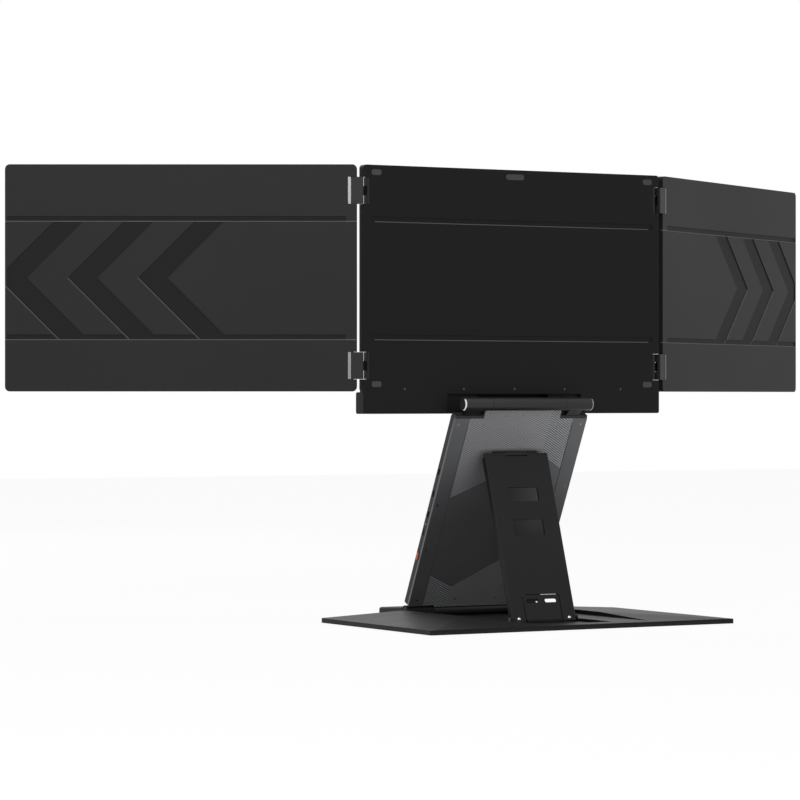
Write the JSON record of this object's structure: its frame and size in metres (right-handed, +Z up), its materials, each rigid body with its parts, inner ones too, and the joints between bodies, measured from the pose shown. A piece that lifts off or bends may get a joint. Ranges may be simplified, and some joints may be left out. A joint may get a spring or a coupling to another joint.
{
  "type": "laptop screen extender",
  "caption": "Folding laptop screen extender on a leaning electronics arm, with a sheet kickstand and a flat base plate.",
  "frame": {"origin": "On the table, under the middle of the base plate.", "axes": "X along the screens, -Y the side the screens face, +Z up."},
  "size_m": [0.9976, 0.3251, 0.4722],
  "materials": {
    "cover_grey": "fine moulded texture, low sheen",
    "bezel_black": "smooth, very dark",
    "screen_glass": "clear, smooth cover glass",
    "display_dark": "dark laminated panel",
    "hinge_dark": "dark coated zinc casting",
    "leaf_bright": "bright stamped leaf",
    "steel_pin": "ground steel",
    "arm_metal": "dark grey blasted and anodised",
    "board_green": "lacquered circuit board",
    "port_metal": "plated steel shells",
    "port_black": "black moulded tongues",
    "light_clear": "clear light guide",
    "button_orange": "orange moulded button",
    "kick_metal": "dark coated folded sheet",
    "base_coat": "dark blasted and coated casting",
    "plate_steel": "black coated sheet steel",
    "bolt_silver": "bright domed and ringed metal",
    "pad_rubber": "soft matt rubber",
    "pad_grey": "grey soft rubber pads"
  },
  "bodies": {
    "base": {"base_steel_plate": "plate_steel", "base_top_cover": "base_coat", "base_screws": "steel_pin", "front_tongue": "base_coat", "base_hinge_blocks": "base_coat", "base_hinge_pins": "steel_pin", "base_rubber_feet": "pad_rubber"},
    "arm": {"arm_back_shell": "arm_metal", "arm_front_cover": "arm_metal", "arm_main_board": "board_green", "arm_back_screws": "bolt_silver", "port_shells": "port_metal", "port_tongues": "port_black", "status_light": "light_clear", "button_switch": "port_black", "arm_top_lugs": "hinge_dark", "barrel_end_caps": "bolt_silver", "barrel_pins": "steel_pin", "arm_foot_knuckle": "arm_metal", "kickstand_hinge_leaf": "hinge_dark", "kickstand_hinge_pin": "steel_pin"},
    "power_button": {"power_button": "button_orange"},
    "kickstand": {"kickstand_plate": "kick_metal", "foot_bolts": "bolt_silver", "foot_hinge_blocks": "hinge_dark"},
    "foot_bracket": {"foot_bracket": "kick_metal", "foot_pins": "steel_pin", "foot_sole_pad": "pad_rubber"},
    "hinge_link": {"hinge_link": "hinge_dark"},
    "centre_screen": {"centre_cover": "cover_grey", "centre_bezel": "bezel_black", "centre_glass": "screen_glass", "centre_display_panel": "display_dark", "centre_back_pads": "pad_grey", "centre_back_screws": "bolt_silver", "chin_hinge_pins": "steel_pin", "chin_driver_board": "board_green", "left_centre_hinge_leaves": "hinge_dark", "right_centre_hinge_leaves": "hinge_dark"},
    "left_wing": {"left_wing_cover": "cover_grey", "left_wing_bezel": "bezel_black", "left_wing_glass": "screen_glass", "left_wing_display_panel": "display_dark", "left_wing_hinge_blocks": "hinge_dark", "left_wing_hinge_leaves": "leaf_bright", "left_wing_hinge_pins": "steel_pin"},
    "right_wing": {"right_wing_cover": "cover_grey", "right_wing_bezel": "bezel_black", "right_wing_glass": "screen_glass", "right_wing_display_panel": "display_dark", "right_wing_hinge_blocks": "hinge_dark", "right_wing_hinge_leaves": "leaf_bright", "right_wing_hinge_pins": "steel_pin"}
  },
  "joints": [
    {"name": "arm_tilt", "type": "hinge", "parent": "base", "child": "arm", "pos_m": [0, -0.1139, 0.0098], "axis": [1, 0, 0], "range_deg": [-4, 4]},
    {"name": "kickstand_swing", "type": "hinge", "parent": "arm", "child": "kickstand", "pos_m": [0, -0.0245, 0.17583], "axis": [1, 0, 0], "range_deg": [-10, 10]},
    {"name": "foot_bracket_pivot", "type": "hinge", "parent": "kickstand", "child": "foot_bracket", "pos_m": [0, 0.0302, 0.0073], "axis": [1, 0, 0], "range_deg": [-6, 6]},
    {"name": "link_swing", "type": "hinge", "parent": "arm", "child": "hinge_link", "pos_m": [0, 0.0001, 0.2279], "axis": [1, 0, 0], "range_deg": [-25, 5]},
    {"name": "screen_tilt", "type": "hinge", "parent": "hinge_link", "child": "centre_screen", "pos_m": [0, -0.0313, 0.2279], "axis": [1, 0, 0], "range_deg": [-15, 25]},
    {"name": "left_wing_fold", "type": "hinge", "parent": "centre_screen", "child": "left_wing", "pos_m": [0.1832, -0.03265, 0.3565], "axis": [0, 0, -1], "range_deg": [-30, 150]},
    {"name": "right_wing_fold", "type": "hinge", "parent": "centre_screen", "child": "right_wing", "pos_m": [-0.1832, -0.03625, 0.3565], "axis": [0, 0, 1], "range_deg": [-30, 150]},
    {"name": "power_button_press", "type": "slide", "parent": "arm", "child": "power_button", "axis": [-1, 0, 0], "range_m": [0, 0.0008], "stiffness_N_per_m": 300, "springref_m": -0.0005}
  ],
  "couplings": [
    {"joint": "kickstand_swing", "follows": "arm_tilt", "ratio": -2.5},
    {"joint": "foot_bracket_pivot", "follows": "arm_tilt", "ratio": 1.5}
  ]
}
